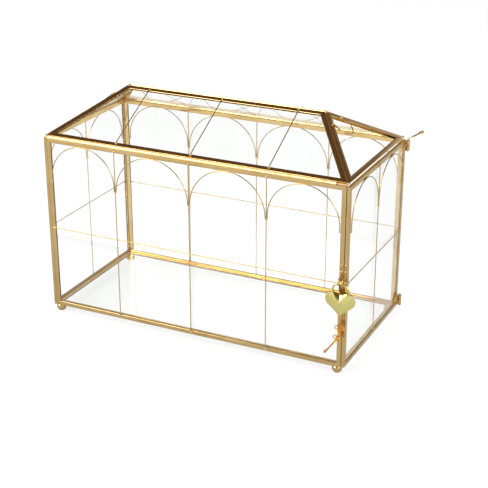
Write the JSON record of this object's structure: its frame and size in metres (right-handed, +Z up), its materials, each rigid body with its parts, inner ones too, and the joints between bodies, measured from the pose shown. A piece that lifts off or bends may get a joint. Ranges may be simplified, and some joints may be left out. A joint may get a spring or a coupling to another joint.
{
  "type": "wedding card box",
  "caption": "Glass and brass card box with a hipped roof, an open card slot in one roof end, a hinged end door and a heart padlock with keys.",
  "frame": {"origin": "on the table, under the middle of the whole outline", "axes": "+Z up, +X along the ridge towards the door, +Y from the front towards the back"},
  "size_m": [0.3352, 0.1724, 0.2286],
  "materials": {
    "polished_brass": "polished",
    "brass_wire": "polished",
    "solder": "polished",
    "lock_brass": "satin",
    "key_brass": "satin",
    "clear_glass": "clear"
  },
  "bodies": {
    "frame": {"back_arches": "brass_wire", "back_channel": "polished_brass", "back_cross_wires": "brass_wire", "back_glass": "clear_glass", "back_uprights": "brass_wire", "ball_feet": "polished_brass", "base_channel": "polished_brass", "base_glass": "clear_glass", "eave_solder": "solder", "frame_lock_eye": "polished_brass", "front_arches": "brass_wire", "front_channel": "polished_brass", "front_cross_wires": "brass_wire", "front_glass": "clear_glass", "front_uprights": "brass_wire", "hip_solder": "solder", "left_arches": "brass_wire", "left_channel": "polished_brass", "left_cross_wires": "brass_wire", "left_glass": "clear_glass", "left_uprights": "brass_wire", "lower_hinge_frame_leaf": "polished_brass", "lower_hinge_pin": "polished_brass", "ridge_solder": "solder", "roof_back_channel": "polished_brass", "roof_back_glass": "clear_glass", "roof_back_wires": "brass_wire", "roof_front_channel": "polished_brass", "roof_front_glass": "clear_glass", "roof_front_wires": "brass_wire", "roof_left_channel": "polished_brass", "roof_left_glass": "clear_glass", "roof_left_loop": "brass_wire", "roof_right_channel": "polished_brass", "roof_right_loop": "brass_wire", "upper_hinge_frame_leaf": "polished_brass", "upper_hinge_pin": "polished_brass"},
    "door": {"door_channel": "polished_brass", "door_glass": "clear_glass", "door_uprights": "brass_wire", "door_arches": "brass_wire", "door_cross_wires": "brass_wire", "upper_hinge_door_leaf": "polished_brass", "lower_hinge_door_leaf": "polished_brass", "door_lock_eye": "polished_brass"},
    "shackle": {"shackle": "lock_brass"},
    "lock_case": {"lock_front_shell": "lock_brass", "lock_back_shell": "lock_brass", "lock_rivet": "lock_brass"},
    "latch": {"lock_latch": "lock_brass"},
    "key": {"key": "key_brass"},
    "key_ring": {"key_ring": "key_brass"},
    "spare_key": {"spare_key": "key_brass"}
  },
  "joints": [
    {"name": "door_hinge", "type": "hinge", "parent": "frame", "child": "door", "pos_m": [0.1552, 0.0738, 0.1], "axis": [0, 0, 1], "range_deg": [0, 180]},
    {"name": "shackle_swing", "type": "hinge", "parent": "frame", "child": "shackle", "pos_m": [0.1498, -0.08315, 0.0967], "axis": [-1, 0, 0], "range_deg": [0, 80]},
    {"name": "case_swing", "type": "hinge", "parent": "shackle", "child": "lock_case", "pos_m": [0.1419, -0.08315, 0.0801], "axis": [0, 1, 0], "range_deg": [0, 45]},
    {"name": "key_turn", "type": "hinge", "parent": "lock_case", "child": "key", "pos_m": [0.1498, -0.08315, 0.0522], "axis": [0, 0, 1], "range_deg": [0, 90]},
    {"name": "latch_slide", "type": "slide", "parent": "lock_case", "child": "latch", "axis": [1, 0, 0], "range_m": [0, 0.0014]},
    {"name": "ring_swing", "type": "hinge", "parent": "key", "child": "key_ring", "pos_m": [0.1498, -0.08315, 0.04875], "axis": [0, 1, 0], "range_deg": [-5, 25]},
    {"name": "spare_swing", "type": "hinge", "parent": "key_ring", "child": "spare_key", "pos_m": [0.1498, -0.08315, 0.04355], "axis": [0, 1, 0], "range_deg": [-35, 25]}
  ],
  "couplings": [
    {"joint": "key_turn", "follows": "latch_slide", "rad_per_m": 1120}
  ]
}
